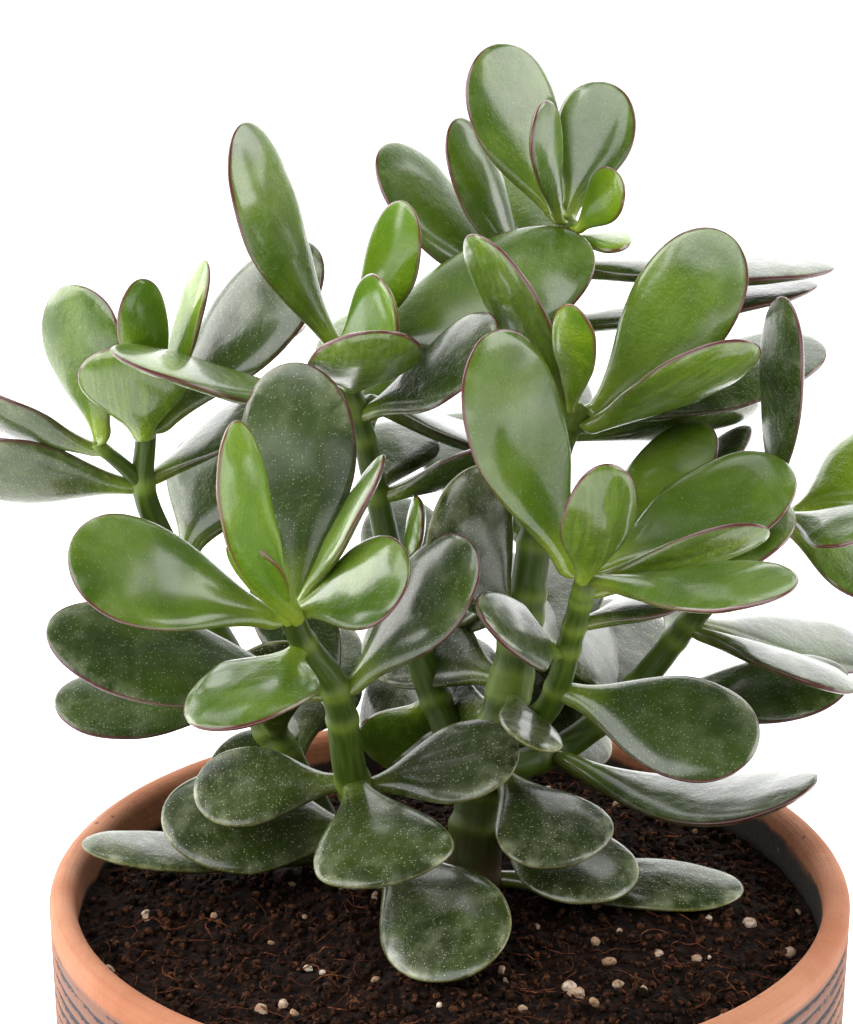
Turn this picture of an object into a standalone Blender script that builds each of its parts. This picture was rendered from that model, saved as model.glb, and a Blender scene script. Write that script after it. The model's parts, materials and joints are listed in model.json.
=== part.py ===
"""Potted jade plant: fleshy leaves in crossed pairs on round stems, planted in a terracotta pot.

The frame has its origin at the centre of the pot's underside, with +Z up and the plant's fuller
side towards -Y. All sizes below are in millimetres and become metres when a mesh is made.
"""

from dataclasses import dataclass, replace

import bpy
import numpy as np
from mathutils import Matrix

MM = 0.001
GAP = 0.3                  # air left between touching pieces

# Pot
POT_HEIGHT = 155.0
RIM_RADIUS = 90.0          # outside of the lip
WALL = 6.0
FLOOR = 9.0
LIP_ROUND = 2.9            # rounding of the lip, inside and out
TAPER = 0.021              # radius lost for each millimetre down the wall
FOOT_CHAMFER = 2.0
CORNER = 3.0               # slope between the floor and the wall inside
POT_SIDES = 72

# Soil
SOIL_DROP = 10.0           # from the lip down to the soil at the wall
SOIL_CROWN = 2.0           # how much higher the soil is in the middle than at the wall
PLANTING_DEPTH = 22.0      # how deep a rooted stem goes into the soil

# Plant
PLANT_SCALE = 1.0          # grows the whole plant about the middle of the soil
LEAF_FULLNESS = 1.0        # thickness of every leaf, against the thickness a leaf of its width has
STEM_FULLNESS = 1.0        # radius of every stem, against the radii listed with the shoots
STEM_SIDES = 10
STEM_STEP = 5.0            # distance between two rings of a stem
LEAF_SIDES = 8
LEAF_STATIONS = (0.0, 0.12, 0.3, 0.48, 0.64, 0.8, 0.92)
NECK = 0.22                # width of a leaf where it leaves the stem, against its widest
WIDEST = 0.62              # where along a leaf it is widest
EDGE_POWER = 1.15          # above 1, the faces meet the edge more sharply than an ellipse's do
CUP = 0.06                 # how far the upper face is hollowed, against half the width


@dataclass(frozen=True)
class Shoot:
    """A stem: points (x, y, height over the soil) from its foot to its tip, and its end radii.

    A stem with a parent starts on the parent's centre line, parent_along of the way up it, and
    its own first point is left out. A rooted stem starts in the soil.
    """

    points: tuple
    foot_radius: float
    tip_radius: float
    parent: str = ""
    parent_along: float = 0.0


@dataclass(frozen=True)
class Leaf:
    """A leaf on a shoot.

    along: where it leaves the stem, from 0 at the foot to 1 at the tip.
    turn, lift: the way it points, round from +X and up from level, in degrees.
    roll: its turn about its own length, in degrees.
    bend: how far it curls up from foot to tip, in degrees.
    sweep: how far it curves within its own plane, in degrees.
    """

    along: float
    turn: float
    lift: float
    roll: float
    length: float
    width: float
    bend: float = 0.0
    sweep: float = 0.0
    widest: float = WIDEST
    finish: str = "leaf_mature"


# Base colours, roughness and coat weight. The four leaf finishes run from young to old.
FINISHES = {
    "terracotta": ((0.62, 0.27, 0.16), 0.75, 0.0),
    "soil": ((0.018, 0.011, 0.008), 0.95, 0.0),
    "stem_green": ((0.12, 0.17, 0.05), 0.55, 0.0),
    "leaf_young": ((0.18, 0.32, 0.03), 0.38, 0.3),
    "leaf_mid": ((0.09, 0.18, 0.035), 0.38, 0.3),
    "leaf_mature": ((0.045, 0.09, 0.022), 0.38, 0.3),
    "leaf_low": ((0.03, 0.055, 0.02), 0.42, 0.3),
}

SHOOTS = {
    "front": Shoot(
        ((-14, 12, 0), (-17, 8, 15), (-22, 2, 32),
         (-25, -6, 56), (-32, -11, 70), (-35, -14, 79)),
        4.8, 2.6,
    ),
    "trunk": Shoot(
        ((5, 9, 0), (7, 14, 19), (13, 18, 44), (17, 22, 64),
         (20, 24, 85), (25, 24, 104), (29, 22, 113)),
        6.6, 2.6,
    ),
    "tall": Shoot(
        ((-4, 30, 41), (-12, 30, 68), (-17, 28, 93), (-21, 24, 112), (-26, 22, 126)),
        4.0, 2.2, "trunk", 0.18,
    ),
    "left": Shoot(
        ((-24, 19, 0), (-35, 28, 19), (-48, 34, 42), (-59, 34, 64), (-66, 33, 79),
         (-69, 30, 91), (-68, 28, 104), (-69, 28, 111)),
        4.6, 2.2,
    ),
    "crown": Shoot(
        ((22, 36, 102), (20, 42, 119), (21, 42, 133), (25, 41, 144), (27, 40, 151)),
        3.4, 2.2, "trunk", 0.76,
    ),
    "centre": Shoot(
        ((20, 8, 44), (24, 4, 53), (27, -2, 69), (29, -6, 80), (30, -7, 85)),
        3.2, 2.4, "trunk", 0.33,
    ),
    "right": Shoot(
        ((19, 28, 24), (31, 34, 28), (44, 34, 41), (55, 32, 57), (67, 28, 74), (76, 26, 87)),
        3.8, 2.4, "trunk", 0.24,
    ),
}

LEAVES = {
    "front": (
        Leaf(0.14, -69, -7, 22, 50, 29, bend=-10, sweep=22, widest=0.66, finish="leaf_low"),
        Leaf(0.20, 177, 5, -31, 43, 28, bend=10, widest=0.55, finish="leaf_low"),
        Leaf(0.35, -7, 18, 31, 34, 22, bend=-6, finish="leaf_low"),
        Leaf(0.38, 173, -5, -27, 32, 23, bend=12, finish="leaf_low"),
        Leaf(0.39, -75, -12, 9, 34, 31, bend=-8, widest=0.74, finish="leaf_low"),
        Leaf(0.70, -13, 52, 49, 43, 22, bend=8, sweep=10),
        Leaf(0.71, -176, 16, -32, 60, 25, bend=14),
        Leaf(0.88, -127, -6, -4, 35, 25, bend=-8, sweep=40, widest=0.50, finish="leaf_mid"),
        Leaf(0.99, -161, 25, -45, 48, 26, bend=-8, widest=0.68, finish="leaf_mid"),
        Leaf(0.99, -30, 29, 51, 30, 21, bend=-6, finish="leaf_mid"),
        Leaf(1.00, -110, 58, -99, 64, 18, bend=10, sweep=20, finish="leaf_young"),
        Leaf(1.00, 91, 81, -17, 50, 26, bend=8),
    ),
    "trunk": (
        Leaf(0.03, -6, 0, 9, 55, 20, bend=2, finish="leaf_low"),
        Leaf(0.13, -33, -10, 8, 34, 28, bend=2, widest=0.50, finish="leaf_low"),
        Leaf(0.24, -57, -17, 5, 30, 28, bend=-8, widest=0.68, finish="leaf_low"),
        Leaf(0.70, 114, 20, -8, 46, 24, bend=10),
        Leaf(0.96, 26, 9, 13, 62, 25, bend=8),
        Leaf(0.99, -133, 58, -4, 52, 21, bend=4, finish="leaf_mid"),
        Leaf(0.98, -28, 33, -36, 45, 20, bend=8, finish="leaf_mid"),
        Leaf(1.00, -15, 55, 70, 50, 25, bend=8, finish="leaf_mid"),
    ),
    "tall": (
        Leaf(0.34, 96, 30, 6, 42, 22, bend=10),
        Leaf(0.86, -40, 36, 50, 44, 20, bend=8),
        Leaf(0.88, -156, 21, -7, 56, 20, bend=4, finish="leaf_mid"),
        Leaf(0.93, -80, 35, 0, 37, 25, bend=12, widest=0.48, finish="leaf_mid"),
        Leaf(0.98, 10, 21, 39, 59, 27, bend=10, finish="leaf_mid"),
        Leaf(1.00, -162, 69, -51, 54, 21, bend=6, sweep=26, finish="leaf_mid"),
    ),
    "left": (
        Leaf(0.05, -166, 10, -5, 54, 18, bend=6, finish="leaf_low"),
        Leaf(0.24, 82, 26, 0, 42, 24, bend=8, finish="leaf_low"),
        Leaf(0.58, 112, 2, 0, 40, 22, bend=12),
        Leaf(0.67, 56, 50, 13, 30, 26),
        Leaf(0.84, -174, 10, 64, 41, 20, bend=2),
        Leaf(0.96, -120, 78, 23, 22, 25, bend=10, finish="leaf_mid"),
        Leaf(0.96, 19, 46, 27, 52, 25, bend=6),
    ),
    "crown": (
        Leaf(0.22, 88, 12, 0, 40, 22, bend=10),
        Leaf(0.68, 165, 47, -22, 47, 22, bend=8, sweep=18, finish="leaf_mid"),
        Leaf(0.74, 152, 64, -14, 40, 16, bend=6, sweep=18, finish="leaf_mid"),
        Leaf(0.83, 2, 0, 1, 60, 21, bend=4),
        Leaf(0.99, 147, 68, -21, 39, 24, bend=6, sweep=24, finish="leaf_mid"),
        Leaf(1.00, 40, 71, 20, 29, 20, bend=6, sweep=-12, finish="leaf_mid"),
    ),
    "centre": (
        Leaf(0.41, -19, -9, 33, 43, 27, bend=6),
        Leaf(0.91, 53, 30, 2, 50, 20, bend=4, finish="leaf_mid"),
        Leaf(0.98, -45, 14, 18, 55, 19, bend=6, finish="leaf_mid"),
        Leaf(1.00, -156, 70, -74, 58, 26, bend=6, finish="leaf_mid"),
        Leaf(1.00, -78, 65, 4, 34, 17, bend=16, sweep=16, widest=0.50, finish="leaf_young"),
        Leaf(1.00, 19, 23, 24, 47, 25, bend=4, finish="leaf_mid"),
    ),
    "right": (
        Leaf(0.22, -25, 6, 6, 61, 24, bend=55),
        Leaf(0.46, -13, 11, 28, 46, 20, bend=2),
        Leaf(0.60, 78, 20, -6, 44, 23, bend=10),
        Leaf(0.65, 28, -18, 21, 54, 20, bend=4),
        Leaf(1.00, -89, 77, 118, 52, 17, bend=4),
        Leaf(1.00, 10, 34, 21, 28, 22, bend=8, finish="leaf_young"),
    ),
}


def catmull_rom(points, steps=12):
    """A smooth path through the points, as an array of places."""
    ends = np.vstack([2 * points[0] - points[1], points, 2 * points[-1] - points[-2]])
    t = np.linspace(0, 1, steps, endpoint=False)[:, None]
    path = []
    for p0, p1, p2, p3 in zip(ends[:-3], ends[1:-2], ends[2:-1], ends[3:]):
        curve = (-p0 + 3 * p1 - 3 * p2 + p3) * t**3 + (2 * p0 - 5 * p1 + 4 * p2 - p3) * t**2
        path.append(0.5 * (curve + (p2 - p0) * t + 2 * p1))
    path.append(points[-1:])
    return np.concatenate(path)


def unit(vector):
    return vector / np.linalg.norm(vector, axis=-1, keepdims=True)


class Stem:
    """The centre line of a shoot, read by the share of its length from the foot."""

    def __init__(self, points, foot_radius, tip_radius):
        self.path = catmull_rom(np.asarray(points, float))
        steps = np.linalg.norm(np.diff(self.path, axis=0), axis=1)
        self.reach = np.concatenate([[0.0], np.cumsum(steps)])
        self.radii = (foot_radius, tip_radius)

    def at(self, share):
        distance = np.asarray(share) * self.reach[-1]
        return np.stack([np.interp(distance, self.reach, self.path[:, k]) for k in range(3)], -1)

    def heading(self, share):
        share = np.asarray(share)
        return unit(self.at(np.clip(share + 0.01, 0, 1)) - self.at(np.clip(share - 0.01, 0, 1)))

    def radius(self, share):
        return self.radii[0] + (self.radii[1] - self.radii[0]) * np.asarray(share)


def lofted(rings, first, last):
    """Points and faces of the closed skin over a stack of rings, with a fan at each end."""
    count, sides = rings.shape[:2]
    points = np.vstack([rings.reshape(-1, 3), first, last])
    row = np.arange(count - 1)[:, None] * sides
    here = np.arange(sides)[None]
    after = (here + 1) % sides
    quads = np.stack([row + here, row + after, row + sides + after, row + sides + here], -1)
    foot = [(count * sides, b, a) for a, b in zip(here[0], after[0])]
    top = (count - 1) * sides
    tip = [(count * sides + 1, top + a, top + b) for a, b in zip(here[0], after[0])]
    return points, quads.reshape(-1, 4).tolist() + foot + tip


def stem_skin(stem, extra=0.0, below=0.0):
    """A round stem as points and faces. extra widens it and below carries its foot down."""
    count = max(3, int(np.ceil(stem.reach[-1] / STEM_STEP))) + 1
    share = np.linspace(0, 1, count)
    middle, heading, radius = stem.at(share), stem.heading(share), stem.radius(share) + extra
    if below:
        lowest = middle[:1] - [0, 0, below]
        middle, heading = np.vstack([lowest, middle]), np.vstack([[[0, 0, 1]], heading])
        radius = np.concatenate([radius[:1], radius])
    across = unit(np.array([1.0, 0, 0]) - heading[:, :1] * heading)
    other = np.cross(heading, across)
    angle = np.linspace(0, 2 * np.pi, STEM_SIDES, endpoint=False)
    rim = np.cos(angle)[:, None] * across[:, None] + np.sin(angle)[:, None] * other[:, None]
    return lofted(middle[:, None] + radius[:, None, None] * rim, middle[0], middle[-1])


def leaf_axes(leaf):
    """The leaf's direction, the normal of its upper face, and the direction across it."""
    turn, lift, roll = np.radians([leaf.turn, leaf.lift, leaf.roll])
    along = np.array([np.cos(turn) * np.cos(lift), np.sin(turn) * np.cos(lift), np.sin(lift)])
    up = np.array([-np.cos(turn) * np.sin(lift), -np.sin(turn) * np.sin(lift), np.cos(lift)])
    normal = up * np.cos(roll) + np.cross(along, up) * np.sin(roll)
    return along, normal, np.cross(along, normal)


def leaf_thickness(width):
    return (1.6 + 0.16 * width) * LEAF_FULLNESS


def half_width(share, leaf):
    """Half the leaf's width: a short neck, the broadest place, then a round end."""
    climb = np.sin(0.5 * np.pi * np.clip(share / leaf.widest, 0, 1)) ** 1.6
    rise = NECK + (1 - NECK) * climb
    fall = np.sqrt(1 - np.clip((share - leaf.widest) / (1 - leaf.widest), 0, 1) ** 2.3)
    return 0.5 * leaf.width * np.where(share < leaf.widest, rise, fall)


def half_thickness(share, leaf):
    """Half the leaf's thickness: a little thinner at the neck, and closing at the tip."""
    body = 0.78 + 0.22 * np.sin(0.5 * np.pi * np.clip(share / 0.45, 0, 1))
    closing = np.sqrt(1 - np.clip((share - 0.45) / 0.55, 0, 1) ** 2.6)
    return 0.5 * leaf_thickness(leaf.width) * body * closing


def leaf_base(leaf, stem):
    """The middle of the leaf's foot, GAP clear of the stem's skin."""
    along = leaf_axes(leaf)[0]
    heading = stem.heading(leaf.along)
    outward = unit(along - (along @ heading) * heading)
    foot = 0.39 * leaf_thickness(leaf.width) + 0.2
    return stem.at(leaf.along) + outward * (
        stem.radius(leaf.along) + GAP + foot * abs(along @ heading)
    )


def leaf_skin(leaf):
    """A leaf as points and faces, with X along it from its foot, Y across it and Z upwards.

    Its rings are lens shaped, and its centre line is part of a circle, swept sideways.
    """
    share = np.array([*LEAF_STATIONS, 1.0])
    bend = np.radians(leaf.bend if abs(leaf.bend) > 0.1 else 0.1)
    curve = leaf.length / (2 * np.sin(bend / 2))
    angle = bend * (share - 0.5)
    sweep = np.radians(leaf.sweep)
    middle = np.stack(
        [
            curve * (np.sin(angle) + np.sin(bend / 2)),
            -0.5 * leaf.length * sweep * share * (share - 1),
            curve * (np.cos(bend / 2) - np.cos(angle)),
        ],
        -1,
    )
    yaw = sweep * (share - 0.5)
    upward = np.stack([-np.sin(angle), 0 * angle, np.cos(angle)], -1)
    heading = np.stack([np.cos(yaw) * np.cos(angle), -np.sin(yaw), np.cos(yaw) * np.sin(angle)], -1)
    across = np.cross(upward, heading)
    around = np.linspace(0, 2 * np.pi, LEAF_SIDES, endpoint=False)
    wide, high = half_width(share, leaf), half_thickness(share, leaf)
    out = wide[:, None] * np.cos(around)
    rise = high[:, None] * np.sign(np.sin(around)) * np.abs(np.sin(around)) ** EDGE_POWER
    rise = rise + CUP * wide[:, None] * (np.cos(around) ** 2 - 0.5)
    rings = middle[:, None] + out[..., None] * across[:, None] + rise[..., None] * upward[:, None]
    return lofted(rings[:-1], middle[0], middle[-1])


def place(piece, base, axes):
    """Sets the piece down at base, in millimetres, turned to its own X, Z and Y directions."""
    along, normal, side = axes
    turned = Matrix(np.stack([along, -side, normal], -1).tolist()).to_4x4()
    piece.matrix_world = Matrix.Translation(base * MM) @ turned


def add_turned(name, profile):
    """An object turned about Z from a profile of (radius, height), which starts and ends there."""
    mesh = bpy.data.meshes.new(name)
    points = [(radius * MM, 0.0, height * MM) for radius, height in profile]
    mesh.from_pydata(points, [(k, k + 1) for k in range(len(points) - 1)], [])
    piece = link_object(name, mesh)
    screw = piece.modifiers.new("turn", "SCREW")
    screw.steps = screw.render_steps = POT_SIDES
    screw.use_merge_vertices = True
    screw.merge_threshold = 1e-5
    return piece


def outer_radius(height):
    return RIM_RADIUS - TAPER * (POT_HEIGHT - height)


def inner_radius(height):
    return outer_radius(height) - WALL


def pot_profile():
    """The pot from the middle of its floor, up the inside, over the lip and down to its foot."""
    lip = LIP_ROUND
    turn = np.radians([0, 30, 60, 90])
    outside = [
        (outer_radius(POT_HEIGHT - lip) - lip * (1 - np.cos(a)), POT_HEIGHT - lip * (1 - np.sin(a)))
        for a in turn
    ]
    inside = [
        (inner_radius(POT_HEIGHT - lip) + lip * (1 - np.cos(a)), POT_HEIGHT - lip * (1 - np.sin(a)))
        for a in turn[::-1]
    ]
    foot = outer_radius(0)
    return [
        (0, FLOOR),
        (inner_radius(FLOOR) - CORNER, FLOOR),
        (inner_radius(FLOOR + CORNER), FLOOR + CORNER),
        *inside[::-1],
        *outside[::-1],
        (foot, FOOT_CHAMFER),
        (foot - FOOT_CHAMFER, 0),
        (0, 0),
    ]


def soil_profile():
    """The soil, GAP clear of the pot all round, with a low crown."""
    level = POT_HEIGHT - SOIL_DROP
    edge = inner_radius(level) - GAP
    return [
        (0, level + SOIL_CROWN),
        (0.33 * edge, level + 0.9 * SOIL_CROWN),
        (0.66 * edge, level + 0.6 * SOIL_CROWN),
        (edge, level),
        (inner_radius(FLOOR + CORNER) - GAP, FLOOR + CORNER + GAP),
        (inner_radius(FLOOR) - CORNER - GAP, FLOOR + GAP),
        (0, FLOOR + GAP),
    ]


def link_object(name, mesh):
    piece = bpy.data.objects.new(name, mesh)
    bpy.context.scene.collection.objects.link(piece)
    return piece


def add_object(name, skin):
    """An object from points in millimetres and faces that look outwards."""
    points, faces = skin
    mesh = bpy.data.meshes.new(name)
    mesh.from_pydata((np.asarray(points) * MM).tolist(), [], faces)
    mesh.update()
    mesh.shade_smooth()
    return link_object(name, mesh)


def add_material(piece, finish, slot):
    """The piece's own material, in the named finish."""
    colour, roughness, coat = FINISHES[finish]
    material = bpy.data.materials.new(slot)
    material.use_nodes = True
    shader = material.node_tree.nodes["Principled BSDF"]
    shader.inputs["Base Color"].default_value = (*colour, 1.0)
    shader.inputs["Roughness"].default_value = roughness
    shader.inputs["Coat Weight"].default_value = coat
    material.diffuse_color = (*colour, 1.0)
    piece.data.materials.append(material)


def cut(piece, cutter):
    """Takes the cutter's solid out of the piece, and keeps the cutter out of the model."""
    cutter.hide_render = True
    modifier = piece.modifiers.new("cut_" + cutter.name, "BOOLEAN")
    modifier.operation = "DIFFERENCE"
    modifier.solver = "EXACT"
    modifier.object = cutter


def clear_scene():
    for found in list(bpy.data.objects):
        bpy.data.objects.remove(found, do_unlink=True)


def grow_stems():
    """The centre line of each shoot, in millimetres from the frame's origin."""
    ground = np.array([0, 0, POT_HEIGHT - SOIL_DROP + SOIL_CROWN])
    stems = {}
    for name, shoot in SHOOTS.items():
        points = [ground + PLANT_SCALE * np.array(point, float) for point in shoot.points]
        if shoot.parent:
            points.insert(0, stems[shoot.parent].at(shoot.parent_along))
        thick = PLANT_SCALE * STEM_FULLNESS
        stems[name] = Stem(points, thick * shoot.foot_radius, thick * shoot.tip_radius)
    return stems


def sized(row):
    """The leaf at the plant's scale."""
    return replace(row, length=PLANT_SCALE * row.length, width=PLANT_SCALE * row.width)


def main():
    clear_scene()
    stems = grow_stems()
    pot = add_turned("pot", pot_profile())
    add_material(pot, "terracotta", "pot")
    soil = add_turned("soil", soil_profile())
    add_material(soil, "soil", "soil")
    for name, shoot in SHOOTS.items():
        rooted = not shoot.parent
        depth = PLANTING_DEPTH if rooted else 0.0
        stem = add_object("stem_" + name, stem_skin(stems[name], below=depth))
        add_material(stem, "stem_green", "stem_" + name)
        if rooted:
            skin = stem_skin(stems[name], extra=GAP, below=depth + GAP)
            cut(soil, add_object("socket_" + name, skin))
        else:
            skin = stem_skin(stems[shoot.parent], extra=GAP)
            cut(stem, add_object("saddle_" + name, skin))
    for shoot, leaves in LEAVES.items():
        for number, row in enumerate(leaves, 1):
            name = f"leaf_{shoot}_{number:02d}"
            leaf = sized(row)
            piece = add_object(name, leaf_skin(leaf))
            place(piece, leaf_base(leaf, stems[shoot]), leaf_axes(leaf))
            add_material(piece, row.finish, name)


main()
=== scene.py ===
"""Looks of the potted jade plant: a grooved terracotta pot, potting soil, green stems and fleshy leaves.

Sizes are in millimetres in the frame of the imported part, with the origin at the centre of the pot's
underside and +Z up. They become metres when a mesh is made. Every surface is a grid of numbers worked
out with numpy, and each class builds and dresses one sub-assembly.
"""

import json
import logging
from dataclasses import dataclass, field
from enum import Enum
from itertools import product
from math import radians

import bpy
import numpy as np
from numpy.typing import NDArray
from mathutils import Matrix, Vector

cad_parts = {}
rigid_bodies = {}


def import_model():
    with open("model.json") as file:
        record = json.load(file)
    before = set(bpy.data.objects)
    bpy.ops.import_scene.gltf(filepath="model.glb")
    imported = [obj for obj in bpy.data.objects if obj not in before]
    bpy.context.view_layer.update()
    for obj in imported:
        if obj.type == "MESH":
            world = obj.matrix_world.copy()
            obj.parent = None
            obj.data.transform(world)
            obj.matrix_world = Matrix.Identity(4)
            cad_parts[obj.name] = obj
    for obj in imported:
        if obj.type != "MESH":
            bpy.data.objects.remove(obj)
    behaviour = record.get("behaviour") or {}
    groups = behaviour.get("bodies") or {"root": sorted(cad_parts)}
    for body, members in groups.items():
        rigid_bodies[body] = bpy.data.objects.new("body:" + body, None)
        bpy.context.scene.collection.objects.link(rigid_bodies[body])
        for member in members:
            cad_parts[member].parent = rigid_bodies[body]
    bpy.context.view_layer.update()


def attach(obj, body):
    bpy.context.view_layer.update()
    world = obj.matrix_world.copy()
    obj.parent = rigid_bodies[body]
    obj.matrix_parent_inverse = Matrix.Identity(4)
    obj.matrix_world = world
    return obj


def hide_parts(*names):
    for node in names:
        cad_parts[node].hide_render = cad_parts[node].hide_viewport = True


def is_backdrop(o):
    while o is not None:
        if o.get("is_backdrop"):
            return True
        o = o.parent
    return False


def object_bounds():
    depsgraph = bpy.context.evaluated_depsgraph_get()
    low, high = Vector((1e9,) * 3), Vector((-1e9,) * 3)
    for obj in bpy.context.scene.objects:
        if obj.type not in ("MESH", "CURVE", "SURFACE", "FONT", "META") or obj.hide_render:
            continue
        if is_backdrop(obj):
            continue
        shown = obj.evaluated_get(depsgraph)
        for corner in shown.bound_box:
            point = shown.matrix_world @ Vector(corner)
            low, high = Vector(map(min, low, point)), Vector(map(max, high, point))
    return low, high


Array = NDArray[np.float64]
Colour = tuple[float, float, float, float]
Socket = bpy.types.NodeSocket
Feeds = dict[str | int, object]

MM = 0.001
log = logging.getLogger("jade_plant")


# ---------------------------------------------------------------- numbers


def paint(red: int, green: int, blue: int) -> Colour:
    """A colour from its screen values, 0 to 255, as the linear values that a shader takes."""
    screen = np.array([red, green, blue]) / 255.0
    linear = np.where(screen <= 0.04045, screen / 12.92, ((screen + 0.055) / 1.055) ** 2.4)
    return (*linear.tolist(), 1.0)


def unit(vector: Array) -> Array:
    """The vector, or each row of vectors, divided by its length."""
    return vector / np.linalg.norm(vector, axis=-1, keepdims=True)


def eased(value: Array, low: float, high: float) -> Array:
    """0 below low, 1 above high, and 3t^2 - 2t^3 of the way between them."""
    share = np.clip((value - low) / (high - low), 0, 1)
    return share * share * (3 - 2 * share)


def lattice(cells: Array, seed: int) -> Array:
    """A fixed random number from -1 to 1 for each whole cell, from its three numbers and the seed.

    Args:
        cells: whole numbers in an array whose last axis holds three.
        seed: picks one of the fields.

    Returns:
        One number per cell.
    """
    x, y, z = (cells[..., k].astype(np.int64).astype(np.uint32) for k in range(3))
    mixed = x * np.uint32(73856093) ^ y * np.uint32(19349663) ^ z * np.uint32(83492791)
    mixed = (mixed ^ np.uint32(seed * 7919 + 17)) * np.uint32(2654435761)
    mixed = (mixed ^ (mixed >> np.uint32(15))) * np.uint32(2246822519)
    return (mixed ^ (mixed >> np.uint32(13))) / 2147483647.5 - 1.0


def waves(points: Array, size: float, seed: int, octaves: int = 1) -> Array:
    """Smooth random waves: the lattice numbers at a cell's eight corners, blended by eased shares.

    Each further octave is half as large in size and in height.

    Args:
        points: places, in an array whose last axis holds three.
        size: length of a cell.
        seed: picks one of the fields.
        octaves: how many fields are added up.

    Returns:
        One number per place, about -1 to 1.
    """
    total = np.zeros(points.shape[:-1])
    for octave in range(octaves):
        scaled = points * (2**octave / size)
        cell = np.floor(scaled)
        share = scaled - cell
        share = share * share * (3 - 2 * share)
        for corner in product((0, 1), repeat=3):
            weight = np.prod(np.where(corner, share, 1 - share), axis=-1)
            total += weight * lattice(cell + corner, seed + octave) / 2**octave
    return total


def smooth_path(points: Array, steps: int = 12) -> Array:
    """A Catmull-Rom curve: it passes through each point, heading along the chord of its neighbours."""
    ends = np.vstack([2 * points[0] - points[1], points, 2 * points[-1] - points[-2]])
    t = np.linspace(0, 1, steps, endpoint=False)[None, :, None]
    p0, p1, p2, p3 = (ends[k : len(ends) - 3 + k][:, None] for k in range(4))
    curve = (-p0 + 3 * p1 - 3 * p2 + p3) * t**3 + (2 * p0 - 5 * p1 + 4 * p2 - p3) * t**2
    path = 0.5 * (curve + (p2 - p0) * t + 2 * p1)
    return np.vstack([path.reshape(-1, 3), points[-1:]])


# ---------------------------------------------------------------- meshes


@dataclass
class Skin:
    """A closed surface before it becomes a mesh: points, faces, and numbers kept at each point."""

    points: Array
    faces: list[list[int]]
    marks: dict[str, Array] = field(default_factory=dict)


def closed_skin(rings: Array, first: Array, last: Array) -> Skin:
    """The skin over a stack of rings, closed by a fan at each end.

    Point (row, side) joins (row, side + 1) and (row + 1, side), and the last side joins the first.
    Faces look outwards when a ring runs anticlockwise, seen from the stack's far end.

    Args:
        rings: an array of rows by sides by three.
        first: the point that closes the first ring.
        last: the point that closes the last ring.

    Returns:
        The skin, its points row by row and then the two closing points.
    """
    rows, sides = rings.shape[:2]
    here = np.arange(sides)
    after = (here + 1) % sides
    row = np.arange(rows - 1)[:, None] * sides
    quads = np.stack([row + here, row + after, row + sides + after, row + sides + here], -1)
    foot = np.stack([np.full(sides, rows * sides), after, here], -1)
    top = (rows - 1) * sides
    tip = np.stack([np.full(sides, rows * sides + 1), top + here, top + after], -1)
    points = np.vstack([rings.reshape(-1, 3), first, last])
    return Skin(points, quads.reshape(-1, 4).tolist() + foot.tolist() + tip.tolist())


def ring_marks(value: Array) -> Array:
    """Numbers for a closed skin: those of its rings, and the two ends' from the rings beside them."""
    return np.concatenate([value.reshape(-1), [value[0].mean()], [value[-1].mean()]])


def repeated(base: Array, faces: Array, places: Array, turns: Array, sizes: Array) -> Skin:
    """Copies of one small closed shape: each is stretched by its sizes, turned, and then moved.

    Args:
        base: the shape's points.
        faces: its triangles.
        places: where each copy goes.
        turns: each copy's turn, as a three by three matrix.
        sizes: each copy's stretch for every point and direction.

    Returns:
        All the copies as one skin.
    """
    points = np.einsum("nij,nkj->nki", turns, base[None] * sizes) + places[:, None]
    offsets = np.arange(len(places))[:, None, None] * len(base)
    return Skin(points.reshape(-1, 3), (faces[None] + offsets).reshape(-1, 3).tolist())


def random_turns(count: int, rng: np.random.Generator) -> Array:
    """Random turns as matrices, each from a random unit quaternion (w, x, y, z)."""
    w, x, y, z = unit(rng.normal(size=(count, 4))).T
    rows = [
        [1 - 2 * (y * y + z * z), 2 * (x * y - z * w), 2 * (x * z + y * w)],
        [2 * (x * y + z * w), 1 - 2 * (x * x + z * z), 2 * (y * z - x * w)],
        [2 * (x * z - y * w), 2 * (y * z + x * w), 1 - 2 * (x * x + y * y)],
    ]
    return np.moveaxis(np.array(rows), -1, 0)


def pebble(halvings: int) -> tuple[Array, Array]:
    """A round twenty-sided shape with corners one from the centre.

    Args:
        halvings: how many times each face is split in four.

    Returns:
        Its points, and its triangles with their outer side up.
    """
    golden = (1 + 5**0.5) / 2
    corners = [(-1, golden, 0), (1, golden, 0), (-1, -golden, 0), (1, -golden, 0)]
    points = [c[-k:] + c[:-k] for k in (0, 1, 2) for c in corners]
    points = unit(np.array(points, float))
    near = np.linalg.norm(points[:, None] - points[None], axis=-1) < 1.1
    faces = [
        (a, b, c)
        for a, b, c in product(range(12), repeat=3)
        if a < b < c and near[a, b] and near[b, c] and near[a, c]
    ]
    faces = np.array(faces)
    inward = np.linalg.det(points[faces]) < 0
    faces[inward] = faces[inward][:, ::-1]
    for _ in range(halvings):
        ends = np.sort(np.concatenate([faces[:, [0, 1]], faces[:, [1, 2]], faces[:, [2, 0]]]), axis=1)
        edges, place = np.unique(ends, axis=0, return_inverse=True)
        ab, bc, ca = place.reshape(3, -1) + len(points)
        points = np.vstack([points, unit(points[edges].mean(axis=1))])
        a, b, c = faces.T
        split = [(a, ab, ca), (ab, b, bc), (ca, bc, c), (ab, bc, ca)]
        faces = np.concatenate([np.stack(part, -1) for part in split])
    return points, faces


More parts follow.
